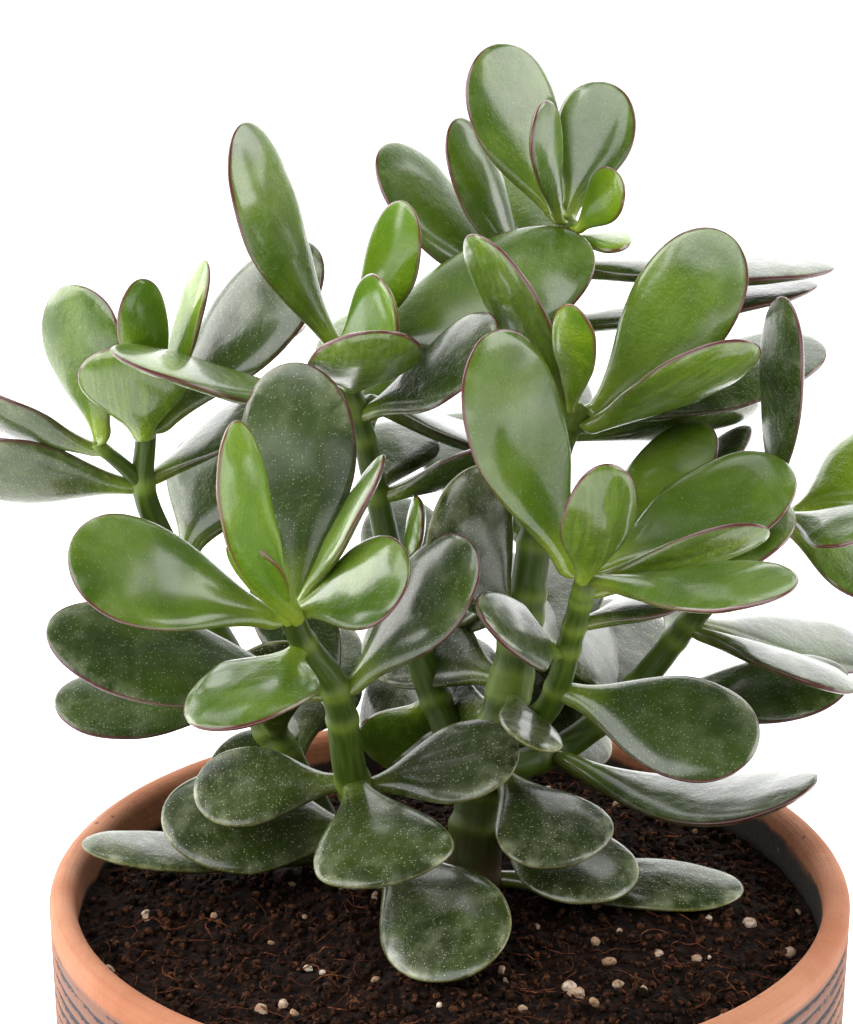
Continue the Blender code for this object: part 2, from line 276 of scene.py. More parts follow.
def make_piece(name: str, skin: Skin, material: bpy.types.Material) -> bpy.types.Object:
    """A smooth mesh object at the origin from a skin in millimetres, with its marks as attributes.

    Args:
        name: the piece's name.
        skin: its surface.
        material: its finish.

    Returns:
        The object, linked to the scene.
    """
    mesh = bpy.data.meshes.new(name)
    mesh.from_pydata((skin.points * MM).tolist(), [], skin.faces)
    for mark, value in skin.marks.items():
        kind, slot = ("FLOAT", "value") if value.ndim == 1 else ("FLOAT_VECTOR", "vector")
        kept = mesh.attributes.new(mark, kind, "POINT")
        kept.data.foreach_set(slot, value.astype(np.float32).ravel())
    mesh.shade_smooth()
    mesh.materials.append(material)
    piece = bpy.data.objects.new(name, mesh)
    bpy.context.scene.collection.objects.link(piece)
    return piece


def hand_over(piece: bpy.types.Object, slot: str, *nodes: str) -> None:
    """Fixes the piece to the frame, and lets it stand for the nodes named."""
    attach(piece, "root")
    if nodes:
        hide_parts(*nodes)
    log.info("%s: %d faces, stands for %s", piece.name, len(piece.data.polygons), nodes or "no node")


# ---------------------------------------------------------------- finishes


class Shade:
    """One procedural material, built up node by node."""

    def __init__(self, name: str) -> None:
        """Starts a material with its main shader."""
        self.material = bpy.data.materials.new(name)
        self.material.use_nodes = True
        self.tree = self.material.node_tree
        self.shader = self.tree.nodes["Principled BSDF"]
        self.place = self.tree.nodes.new("ShaderNodeTexCoord").outputs["Object"]

    def feed(self, socket: Socket, value: object) -> None:
        """Links another node's output to the socket, or sets the socket's own value."""
        if isinstance(value, bpy.types.NodeSocket):
            self.tree.links.new(value, socket)
        else:
            socket.default_value = value

    def add(self, kind: str, feeds: Feeds, **settings: object) -> bpy.types.Node:
        """Adds a node.

        Args:
            kind: the node's type, without its ShaderNode prefix.
            feeds: what each input gets, by name or number.
            settings: the node's own properties.

        Returns:
            The new node.
        """
        node = self.tree.nodes.new("ShaderNode" + kind)
        for key, value in settings.items():
            setattr(node, key, value)
        for key, value in feeds.items():
            self.feed(node.inputs[key], value)
        return node

    def mark(self, name: str) -> bpy.types.Node:
        """Reads a number kept at the mesh's points."""
        return self.add("Attribute", {}, attribute_name=name)

    def height(self) -> Socket:
        """The height of the point above the ground, in metres."""
        return self.add("SeparateXYZ", {0: self.place}).outputs["Z"]

    def noise(self, scale: float, detail: float = 2.0, place: Socket | None = None) -> Socket:
        """A cloudy pattern of that many waves a metre."""
        feeds = {"Vector": place or self.place, "Scale": scale, "Detail": detail}
        return self.add("TexNoise", feeds).outputs["Fac"]

    def cells(self, scale: float) -> bpy.types.Node:
        """A pattern of scattered points, with the distance to the nearest and its random colour."""
        return self.add("TexVoronoi", {"Vector": self.place, "Scale": scale})

    def math(self, operation: str, first: object, second: object) -> Socket:
        """Arithmetic on two numbers, kept from 0 to 1."""
        node = self.add("Math", {0: first, 1: second}, operation=operation, use_clamp=True)
        return node.outputs[0]

    def band(self, value: Socket, low: float, high: float, start: float = 0, end: float = 1) -> Socket:
        """A smooth step from start, where the value is low, to end, where it is high."""
        feeds = {0: value, 1: low, 2: high, 3: start, 4: end}
        return self.add("MapRange", feeds, interpolation_type="SMOOTHSTEP").outputs[0]

    def mix(self, share: object, first: object, second: object) -> Socket:
        """The first colour, changed to the second by the share."""
        return self.add("Mix", {0: share, 6: first, 7: second}, data_type="RGBA").outputs[2]

    def bump(self, height: Socket, depth: float, strength: float, under: Socket | None = None) -> Socket:
        """Relief of that depth in metres, laid over an earlier relief if there is one."""
        feeds: Feeds = {"Height": height, "Distance": depth, "Strength": strength}
        if under is not None:
            feeds["Normal"] = under
        return self.add("Bump", feeds).outputs[0]

    def finish(self, **sockets: object) -> bpy.types.Material:
        """Feeds the main shader.

        Args:
            sockets: what each socket gets, by its name in small letters with underscores.

        Returns:
            The finished material.
        """
        named = {socket.name.lower().replace(" ", "_"): socket for socket in self.shader.inputs}
        for name, value in sockets.items():
            self.feed(named[name], value)
        return self.material


@dataclass(frozen=True)
class LeafFinish:
    """How leaves of one age look."""

    name: str
    deep: Colour
    light: Colour
    under: Colour
    neck: Colour
    margin: Colour
    bloom: float        # strength of the pale waxy film
    specks: float       # how strongly the white pores show
    redness: float      # strength of the coloured margin
    wax: float          # share of the face under the clear waxy coat
    gloss: tuple[float, float]      # roughness of the smooth and of the dull patches
    film: Colour = paint(168, 174, 142)
    pore: Colour = paint(184, 194, 160)

    def material(self) -> bpy.types.Material:
        """Two greens in soft patches, a streaked underside, a waxy film, pores and a red margin.

        Returns:
            The material, which reads the marks along, rim, upper, tone and grain.
        """
        shade = Shade(self.name)
        along = shade.mark("along").outputs["Fac"]
        rim = shade.mark("rim").outputs["Fac"]
        upper = shade.mark("upper").outputs["Fac"]
        tone = shade.mark("tone").outputs["Fac"]
        grain = shade.mark("grain").outputs["Vector"]
        patches = shade.band(shade.noise(55.0, 3.0), 0.36, 0.66)
        colour = shade.mix(shade.math("MULTIPLY", patches, tone), self.deep, self.light)
        streaks = shade.noise(1.0, 3.0, grain)
        below = shade.mix(shade.band(streaks, 0.42, 0.68), self.under, self.light)
        colour = shade.mix(upper, below, colour)
        colour = shade.mix(shade.band(along, 0.26, 0.0, 0.0, 0.85), colour, self.neck)
        film = shade.math("MULTIPLY", shade.band(shade.noise(210.0, 6.0), 0.40, 0.75), self.bloom)
        film = shade.math("MULTIPLY", film, shade.band(rim, 0.3, 6.0, 1.0, 0.25))
        film = shade.math("MULTIPLY", film, shade.band(along, 0.35, 0.95, 0.30, 1.0))
        colour = shade.mix(film, colour, self.film)
        pores = shade.cells(1500.0)
        dots = shade.band(pores.outputs["Distance"], 0.25, 0.08, 0.0, self.specks)
        shown = shade.band(pores.outputs["Color"], 0.10, 0.65)
        colour = shade.mix(shade.math("MULTIPLY", dots, shown), colour, self.pore)
        edge = shade.math("MULTIPLY", shade.band(rim, 1.45, 0.50), shade.band(along, 0.2, 0.8, 0.25, 1.0))
        edge = shade.math("MULTIPLY", edge, self.redness)
        colour = shade.mix(edge, colour, self.margin)
        relief = shade.bump(pores.outputs["Distance"], 0.00022, 0.45)
        relief = shade.bump(shade.noise(380.0, 2.0), 0.0011, 0.45, relief)
        relief = shade.bump(streaks, 0.0003, 0.20, relief)
        roughness = shade.band(shade.noise(240.0, 2.0), 0.35, 0.70, *self.gloss)
        return shade.finish(
            base_color=colour, roughness=roughness, normal=relief,
            specular_ior_level=0.15, coat_weight=self.wax, coat_ior=1.6, coat_roughness=0.17,
            subsurface_weight=0.05, subsurface_radius=(0.6, 1.0, 0.25), subsurface_scale=0.002,
        )


class Age(Enum):
    """The four ages of leaf, each with its finish."""

    YOUNG = LeafFinish(
        "leaf_young", paint(78, 112, 8), paint(118, 146, 24), paint(100, 130, 26),
        paint(146, 166, 50), paint(92, 26, 32), 0.06, 0.15, 0.80, 1.0, (0.30, 0.40),
    )
    MID = LeafFinish(
        "leaf_mid", paint(58, 84, 8), paint(92, 118, 26), paint(76, 100, 22),
        paint(122, 144, 40), paint(82, 22, 32), 0.30, 0.28, 0.95, 1.0, (0.30, 0.42),
    )
    MATURE = LeafFinish(
        "leaf_mature", paint(34, 50, 8), paint(58, 78, 18), paint(52, 68, 20),
        paint(98, 118, 32), paint(76, 22, 32), 0.45, 0.50, 0.90, 0.85, (0.32, 0.46),
    )
    LOW = LeafFinish(
        "leaf_low", paint(30, 42, 6), paint(54, 68, 18), paint(48, 58, 20),
        paint(84, 100, 30), paint(108, 104, 52), 0.75, 0.80, 0.50, 0.65, (0.34, 0.50),
    )


@dataclass(frozen=True)
class StemFinish:
    """The smooth green bark of the stems, brown and dull where they leave the soil."""

    green: Colour = paint(50, 68, 12)
    pale: Colour = paint(68, 88, 22)
    joint: Colour = paint(112, 132, 46)
    brown: Colour = paint(82, 66, 42)
    soil_line: float = 0.149        # metres above the ground
    brown_reach: float = 0.022      # metres of brown above the soil

    def material(self) -> bpy.types.Material:
        """Green with pale lengthwise streaks and lighter joints, turning brown near the soil.

        Returns:
            The material, which reads the marks grain and joint.
        """
        shade = Shade("stem_bark")
        grain = shade.mark("grain").outputs["Vector"]
        joint = shade.mark("joint").outputs["Fac"]
        streaks = shade.noise(1.0, 4.0, grain)
        colour = shade.mix(shade.band(streaks, 0.38, 0.66), self.green, self.pale)
        colour = shade.mix(shade.math("MULTIPLY", joint, 0.6), colour, self.joint)
        foot = shade.band(shade.height(), self.soil_line + self.brown_reach, self.soil_line)
        foot = shade.math("MULTIPLY", foot, shade.band(shade.noise(160.0, 3.0), 0.30, 0.62, 0.45, 1.0))
        colour = shade.mix(foot, colour, self.brown)
        relief = shade.bump(streaks, 0.0003, 0.25)
        relief = shade.bump(shade.noise(900.0, 3.0), 0.0002, 0.3, relief)
        roughness = shade.band(foot, 0.0, 1.0, 0.42, 0.75)
        return shade.finish(
            base_color=colour, roughness=roughness, normal=relief, specular_ior_level=0.3,
        )


@dataclass(frozen=True)
class ClayFinish:
    """Fired terracotta: peach on the lip, pinker between scored grooves darkened by painted shade, and
    painted shade inside.
    """

    peach: Colour = paint(168, 112, 80)
    orange: Colour = paint(146, 86, 54)
    pink: Colour = paint(116, 82, 69)
    # painted shade for the scored grooves
    groove_shade: Colour = paint(52, 48, 52)
    # painted shade for the inner wall above the soil
    inner_shade: Colour = paint(34, 27, 23)
    ring: Colour = paint(140, 82, 54)
    speck: Colour = paint(86, 58, 48)

    def material(self) -> bpy.types.Material:
        """Clouded clay with rings from the wheel, scored lines with painted shade, specks, and painted
        shade on the inner wall below the lip.

        Returns:
            The material, which reads the marks groove, wall, inside and turning.
        """
        shade = Shade("terracotta")
        groove = shade.mark("groove").outputs["Fac"]
        wall = shade.mark("wall").outputs["Fac"]
        inside = shade.mark("inside").outputs["Fac"]
        rings = shade.noise(1.0, 4.0, shade.mark("turning").outputs["Vector"])
        cloud = shade.noise(26.0, 5.0)
        colour = shade.mix(shade.band(cloud, 0.34, 0.68), self.peach, self.orange)
        colour = shade.mix(shade.band(rings, 0.50, 0.74, 0.0, 0.45), colour, self.ring)
        pinkness = shade.math("MULTIPLY", wall, shade.band(shade.noise(70.0, 3.0), 0.3, 0.6, 0.5, 0.95))
        colour = shade.mix(pinkness, colour, self.pink)
        grit = shade.noise(520.0, 4.0)
        # painted shade: the grooves darken with their depth, broken up by grit
        torn = shade.math("ADD", groove, shade.band(grit, 0.30, 0.72, -0.24, 0.24))
        scored = shade.band(torn, 0.34, 0.60)
        colour = shade.mix(shade.math("MULTIPLY", scored, wall), colour, self.groove_shade)
        # painted shade: the inner wall goes dark from a little below the lip, with a ragged edge
        painted_inner_shade = shade.math("ADD", inside, shade.band(shade.noise(38.0, 4.0), 0.35, 0.65, -0.35, 0.35))
        painted_inner_shade = shade.band(painted_inner_shade, 0.35, 0.85)
        colour = shade.mix(painted_inner_shade, colour, self.inner_shade)
        specks = shade.band(shade.cells(230.0).outputs["Distance"], 0.16, 0.09)
        specks = shade.math("MULTIPLY", specks, shade.band(shade.noise(60.0, 2.0), 0.52, 0.62))
        colour = shade.mix(specks, colour, self.speck)
        relief = shade.bump(rings, 0.0005, 0.35)
        relief = shade.bump(grit, 0.0006, 0.4, relief)
        relief = shade.bump(shade.noise(1800.0, 3.0), 0.0003, 0.35, relief)
        roughness = shade.band(cloud, 0.3, 0.7, 0.62, 0.82)
        return shade.finish(base_color=colour, roughness=roughness, normal=relief, specular_ior_level=0.35)


@dataclass(frozen=True)
class SoilFinish:
    """Damp peat, and the pieces mixed into it."""

    name: str
    dark: Colour
    light: Colour
    roughness: float
    scale: float                    # waves a metre in the grit
    # painted shade for the pits between grains
    pit_shade: Colour = paint(14, 9, 7)

    def material(self) -> bpy.types.Material:
        """Two colours in fine grit, with one tone to each loose piece, near-black painted shade in small
        pits, and a rough relief.
        """
        shade = Shade(self.name)
        tone = shade.mark("tone").outputs["Fac"]
        grit = shade.noise(self.scale, 5.0)
        share = shade.math("MULTIPLY", shade.band(grit, 0.38, 0.70), tone)
        colour = shade.mix(share, self.dark, self.light)
        # painted shade: near-black patches where a finer grit pattern is low
        pits = shade.band(shade.noise(self.scale * 3.0, 3.0), 0.30, 0.48, 0.6, 0.0)
        colour = shade.mix(pits, colour, self.pit_shade)
        relief = shade.bump(grit, 0.0016, 0.9)
        return shade.finish(
            base_color=colour, roughness=self.roughness, normal=relief, specular_ior_level=0.1,
        )


# ---------------------------------------------------------------- pot


@dataclass
class Pot:
    """The terracotta pot: a plain round lip over a wall scored with long wavering grooves."""

    height: float = 155.0
    rim_radius: float = 90.0
    wall: float = 6.0
    floor: float = 9.0
    lip: float = 2.9
    taper: float = 0.021
    chamfer: float = 2.0
    corner: float = 3.0
    sides: int = 224
    row_step: float = 0.46
    plain_band: float = 6.2         # smooth clay from the top of the lip down to the first groove
    groove_spacing: float = 3.5
    groove_depth: float = 0.5
    finish: ClayFinish = ClayFinish()

    def outer(self, height: Array) -> Array:
        """The outside radius: the rim's, less the taper for each millimetre below the lip."""
        return self.rim_radius - self.taper * (self.height - height)

    def profile(self) -> Array:
        """The outline, from under the foot, up the outside, over the lip and down to the floor.

        The lip is two quarter circles. The outside has a row every row_step, fine enough for grooves.

        Returns:
            Rows of radius and height.
        """
        turn = np.radians(np.linspace(0, 90, 9))
        low = self.height - self.lip
        out = self.outer(low)
        outside = np.stack([out - self.lip * (1 - np.cos(turn)), low + self.lip * np.sin(turn)], -1)
        far = out - self.wall + self.lip
        inside = np.stack([far - self.lip * np.cos(turn), low + self.lip * np.sin(turn)], -1)[::-1]
        heights = np.arange(self.chamfer, low, self.row_step)
        face = np.stack([self.outer(heights), heights], -1)
        above, below = np.linspace(low - 1, 136, 16), np.linspace(130, self.floor + self.corner, 12)
        down = np.concatenate([above, below])
        back = np.stack([self.outer(down) - self.wall, down], -1)
        foot = self.outer(0.0)
        under = [[0.5 * foot, 0.0], [foot - self.chamfer - 0.4, 0.0], [foot - self.chamfer, 0.0]]
        slope = self.outer(self.floor) - self.wall - self.corner
        hollow = [[slope, self.floor], [slope - 0.5, self.floor], [0.5 * slope, self.floor]]
        return np.vstack([under, face, outside, inside[1:], back, hollow])

    def grooves(self, angle: Array, height: Array) -> Array:
        """How deep the scoring is, from 0 to 1.

        The phase is the height over the spacing, a slow turn round the pot, and waves. A groove lies
        where the cosine of the phase is near 1, and random waves along it make it fade and return.

        Args:
            angle: round the pot, in radians.
            height: above the ground, in millimetres.

        Returns:
            The share of the full depth.
        """
        around = np.stack([60 * np.cos(angle), 60 * np.sin(angle), height], -1)
        lean = 3.0 * np.sin(angle + 0.6) + 1.6 * np.sin(2 * angle + 2.0) + 0.8 * np.sin(5 * angle)
        drift = lean + 2.4 * waves(around * [1, 1, 1.6], 46.0, 5, 2)
        phase = (height + drift) / self.groove_spacing + 2 * angle / (2 * np.pi)
        line = 0.5 + 0.5 * np.cos(2 * np.pi * phase)
        width = 0.52 + 0.18 * waves(around * [1, 1, 4.0], 20.0, 9, 2)
        fade = eased(waves(around * [1, 1, 5.0], 30.0, 13, 2), -0.75, -0.35)
        top = self.height - self.plain_band + 1.2 * waves(around, 24.0, 21)
        return eased(line, width, width + 0.3) * fade * eased(-height, -top, -top + 1.2)

    def skin(self) -> Skin:
        """The turned outline, pushed in by the grooves.

        Returns:
            The skin, marked with the grooves, the scored wall, the painted shade inside and the wheel's
            rings.
        """
        outline = self.profile()
        angle = np.linspace(0, 2 * np.pi, self.sides, endpoint=False)[None]
        radius, height = outline[:, :1], outline[:, 1:]
        reach = np.concatenate([[0], np.cumsum(np.linalg.norm(np.diff(outline, axis=0), axis=1))])
        out_face = (np.abs(radius - self.outer(height)) < 0.3) & (height > self.chamfer)
        below_top = self.height - height
        wall = out_face * eased(below_top, self.plain_band - 1.0, self.plain_band + 0.6)
        groove = self.grooves(angle + 0 * height, height + 0 * angle) * out_face
        pushed = radius - self.groove_depth * groove
        rings = np.stack([pushed * np.cos(angle), pushed * np.sin(angle), height + 0 * angle], -1)
        within = (radius < self.outer(height) - 0.7 * self.wall) & (height > self.floor - 0.1)
        # painted shade inside: dark from a few millimetres below the top, its edge tilted round the pot
        # like a cast shadow
        lean = 2.5 * np.cos(angle - 0.5)
        depth = eased(below_top + lean, 3.6, 9.0) * within
        skin = closed_skin(rings, np.array([0, 0, 0.0]), np.array([0, 0, self.floor]))
        skin.marks["groove"] = ring_marks(groove)
        skin.marks["wall"] = ring_marks(wall + 0 * angle)
        # inside: the share of painted shade on the inner wall
        skin.marks["inside"] = ring_marks(depth + 0 * angle)
        swirl = reach[:, None] + 1.5 * angle / (2 * np.pi)
        turning = np.stack([swirl * 1.1, np.cos(angle) + 0 * swirl, np.sin(angle) + 0 * swirl], -1)
        skin.marks["turning"] = np.vstack([turning.reshape(-1, 3), turning[0, :1], turning[-1, :1]])
        return skin

    def build(self) -> None:
        """Makes and dresses the pot."""
        hand_over(make_piece("pot_clay", self.skin(), self.finish.material()), "pot", "pot")


# ---------------------------------------------------------------- soil


@dataclass
class Soil:
    """Potting soil: an uneven bed with crumbs, root fibres and white mineral grains on it."""

    pot: Pot
    drop: float = 10.0
    crown: float = 2.0
    crumbs: int = 5200
    crumb_sizes: tuple[float, float] = (0.35, 1.9)
    fibres: int = 330
    fibre_lengths: tuple[float, float] = (3.5, 13.0)
    grains: int = 95
    grain_sizes: tuple[float, float] = (0.7, 2.1)
    rows: int = 150
    sides: int = 260
    bed: SoilFinish = SoilFinish("soil_bed", paint(8, 4, 3), paint(46, 25, 16), 0.95, 420.0)
    loose: SoilFinish = SoilFinish("soil_crumb", paint(13, 7, 4), paint(108, 66, 42), 0.85, 900.0)
    strand: SoilFinish = SoilFinish("soil_fibre", paint(70, 36, 22), paint(142, 88, 58), 0.75, 700.0)
    grain: SoilFinish = SoilFinish("soil_grain", paint(150, 120, 94), paint(236, 226, 212), 0.85, 500.0)

    def edge(self) -> float:
        """The radius of the bed, just inside the pot."""
        return float(self.pot.outer(self.pot.height - self.drop)) - self.pot.wall - 0.1

    def level(self, x: Array, y: Array) -> Array:
        """The height of the bed.

        A crown falls to the wall as the square of the radius. A slump against the right wall, broad
        waves and finer lumps are added to it.

        Args:
            x: to the right, in millimetres.
            y: away, in millimetres.

        Returns:
            Heights in millimetres.
        """
        share = np.hypot(x, y) / self.edge()
        flat = np.stack([x, y, 0 * x], -1)
        slump = 3.4 * eased(share, 0.72, 1.0) * eased(x / self.edge() - 0.25 * y / self.edge(), 0.2, 1.0)
        lumps = 0.9 * waves(flat, 19.0, 31, 2) + 0.75 * waves(flat, 5.5, 37, 3)
        pits = 0.5 * waves(flat, 1.7, 41, 2)
        calm = 1 - 0.5 * eased(share, 0.93, 1.0)
        middle = self.pot.height - self.drop + self.crown * (1 - share**2)
        return middle - slump + (lumps + pits) * calm

    def bed_skin(self) -> Skin:
        """A closed bed: a flat underside, the sides along the pot, and the uneven top."""
        angle = np.linspace(0, 2 * np.pi, self.sides, endpoint=False)
        edge = self.edge()
        radius = edge * np.sqrt(np.linspace(1.0, 0.0002, self.rows))
        x, y = radius[:, None] * np.cos(angle), radius[:, None] * np.sin(angle)
        top = np.stack([x, y, self.level(x, y)], -1)
        floor = self.pot.floor + 0.3
        foot = self.pot.outer(floor) - self.pot.wall - self.pot.corner - 0.3
        sides = [(0.5 * foot, floor), (foot, floor), (foot + self.pot.corner, floor + self.pot.corner)]
        lower = [np.stack([r * np.cos(angle), r * np.sin(angle), z + 0 * angle], -1) for r, z in sides]
        middle = np.array([0, 0, float(self.level(np.zeros(1), np.zeros(1))[0])])
        skin = closed_skin(np.concatenate([np.array(lower), top]), np.array([0, 0, floor]), middle)
        skin.marks["tone"] = 0.5 + 0.5 * eased(waves(skin.points, 9.0, 47, 3), -0.6, 0.8)
        return skin

    def scattered(self, count: int, rng: np.random.Generator) -> tuple[Array, Array]:
        """Random places spread evenly over the bed."""
        angle = rng.uniform(0, 2 * np.pi, count)
        radius = (self.edge() - 1.2) * np.sqrt(rng.uniform(0, 1, count))
        return radius * np.cos(angle), radius * np.sin(angle)

    def lumps(self, count: int, sizes: tuple[float, float], halvings: int, seed: int) -> Skin:
        """Loose lumps half sunk in the bed, each an uneven pebble.

        Args:
            count: how many.
            sizes: the smallest and largest radius.
            halvings: how finely each is split.
            seed: fixes the random choices.

        Returns:
            All of them as one skin.
        """
        rng = np.random.default_rng(seed)
        x, y = self.scattered(count, rng)
        size = sizes[0] + (sizes[1] - sizes[0]) * rng.beta(1.3, 3.2, count)
        base, faces = pebble(halvings)
        uneven = 1 + 0.42 * waves(base[None] + 9.0 * np.arange(count)[:, None, None], 0.8, seed)
        stretch = size[:, None, None] * uneven[..., None] * rng.uniform(0.65, 1.2, (count, 1, 3))
        places = np.stack([x, y, self.level(x, y) + 0.25 * size], -1)
        skin = repeated(base, faces, places, random_turns(count, rng), stretch)
        skin.marks["tone"] = np.repeat(rng.beta(1.1, 1.6, count), len(base))
        return skin

    def strands(self, seed: int = 7) -> Skin:
        """Root fibres: thin three-sided threads that bend along the bed and rise a little off it.

        Args:
            seed: fixes the random choices.

        Returns:
            All of them as one skin.
        """
        rng = np.random.default_rng(seed)
        count, steps, sides = self.fibres, 7, 3
        x, y = self.scattered(count, rng)
        t = np.linspace(-0.5, 0.5, steps)
        heading = rng.uniform(0, 2 * np.pi, (count, 1)) + rng.uniform(-1.6, 1.6, (count, 1)) * t
        length = rng.uniform(*self.fibre_lengths, (count, 1))
        px = x[:, None] + length * t * np.cos(heading)
        py = y[:, None] + length * t * np.sin(heading)
        reach = np.hypot(px, py)
        inside = np.minimum(1, (self.edge() - 1.0) / np.maximum(reach, 1e-6))
        px, py = px * inside, py * inside
        arch = rng.uniform(0.0, 1.5, (count, 1)) * (0.25 - t**2) * 4
        tilt = rng.uniform(-0.5, 1.8, (count, 1)) * (t + 0.1)
        path = np.stack([px, py, self.level(px, py) + 0.35 + (arch + tilt)], -1)
        tangent = unit(np.gradient(path, axis=1))
        side = unit(np.cross(tangent, [0, 0, 1.0]))
        other = np.cross(side, tangent)
        angle = np.linspace(0, 2 * np.pi, sides, endpoint=False)
        radius = rng.uniform(0.10, 0.24, (count, 1)) * (1.05 - np.abs(t) * 1.4)
        spoke = np.cos(angle)[:, None] * other[:, :, None] + np.sin(angle)[:, None] * side[:, :, None]
        rings = path[:, :, None] + radius[..., None, None] * spoke
        one = closed_skin(rings[0], path[0, 0], path[0, -1])
        stride = steps * sides + 2
        points = np.concatenate([rings.reshape(count, -1, 3), path[:, :1], path[:, -1:]], axis=1)
        offset = np.arange(count)[:, None, None] * stride
        faces: list[list[int]] = []
        for size in (4, 3):
            shape = np.array([face for face in one.faces if len(face) == size])
            faces += (shape + offset).reshape(-1, size).tolist()
        skin = Skin(points.reshape(-1, 3), faces)
        skin.marks["tone"] = np.repeat(rng.uniform(0.1, 1.0, count), stride)
        return skin

    def build(self) -> None:
        """Makes and dresses the bed and what lies on it."""
        hand_over(make_piece("soil_bed", self.bed_skin(), self.bed.material()), "soil", "soil")
        crumbs = self.lumps(self.crumbs, self.crumb_sizes, 0, 3)
        hand_over(make_piece("soil_crumbs", crumbs, self.loose.material()), "soil")
        grains = self.lumps(self.grains, self.grain_sizes, 1, 5)
        hand_over(make_piece("soil_grains", grains, self.grain.material()), "soil")
        hand_over(make_piece("soil_fibres", self.strands(), self.strand.material()), "soil")


# ---------------------------------------------------------------- stems


@dataclass(frozen=True)
class Shoot:
    """A stem: points (x, y, height over the soil's crown) from foot to tip, and its end radii.

    A stem with a parent starts on the parent's centre line, parent_along of the way up it.
    """

    points: tuple[tuple[float, float, float], ...]
    foot_radius: float
    tip_radius: float
    parent: str = ""
    parent_along: float = 0.0


SHOOTS: dict[str, Shoot] = {
    "front": Shoot(
        ((-14, 12, 0), (-17, 8, 15), (-22, 2, 32), (-25, -6, 56), (-32, -11, 70), (-35, -14, 79)),
        4.8, 2.6,
    ),
    "trunk": Shoot(
        ((5, 9, 0), (7, 14, 19), (13, 18, 44), (17, 22, 64), (20, 24, 85), (25, 24, 104), (29, 22, 113)),
        6.6, 2.6,
    ),
    "tall": Shoot(
        ((-4, 30, 41), (-12, 30, 68), (-17, 28, 93), (-21, 24, 112), (-26, 22, 126)),
        4.0, 2.2, "trunk", 0.18,
    ),
    "left": Shoot(
        ((-24, 19, 0), (-35, 28, 19), (-48, 34, 42), (-59, 34, 64), (-66, 33, 79),
         (-69, 30, 91), (-68, 28, 104), (-69, 28, 111)),
        4.6, 2.2,
    ),
    "twig": Shoot(((-74, 26, 98), (-79, 22, 104)), 1.9, 1.5, "left", 0.84),
    "crown": Shoot(
        ((22, 36, 102), (20, 42, 119), (21, 42, 133), (25, 41, 144), (27, 40, 151)),
        3.4, 2.2, "trunk", 0.76,
    ),
    "centre": Shoot(
        ((20, 8, 44), (24, 4, 53), (27, -2, 69), (29, -6, 80), (30, -7, 85)),
        3.2, 2.4, "trunk", 0.33,
    ),
    "right": Shoot(
        ((19, 28, 24), (31, 34, 28), (44, 34, 41), (55, 32, 57), (67, 28, 74), (76, 26, 87)),
        3.8, 2.4, "trunk", 0.24,
    ),
}


class Stem:
    """The centre line of a shoot, read by the share of its length from the foot."""

    def __init__(self, points: Array, foot_radius: float, tip_radius: float) -> None:
        """Draws the smooth path and measures along it."""
        self.path = smooth_path(points)
        steps = np.linalg.norm(np.diff(self.path, axis=0), axis=1)
        self.reach = np.concatenate([[0.0], np.cumsum(steps)])
        self.radii = (foot_radius, tip_radius)

    def at(self, share: Array | float) -> Array:
        """The place that far along."""
        distance = np.asarray(share) * self.reach[-1]
        return np.stack([np.interp(distance, self.reach, self.path[:, k]) for k in range(3)], -1)

    def heading(self, share: Array | float) -> Array:
        """The direction of the line there."""
        share = np.asarray(share)
        return unit(self.at(np.clip(share + 0.01, 0, 1)) - self.at(np.clip(share - 0.01, 0, 1)))

    def radius(self, share: Array | float) -> Array:
        """The stem's radius there, in proportion between its ends."""
        return self.radii[0] + (self.radii[1] - self.radii[0]) * np.asarray(share)


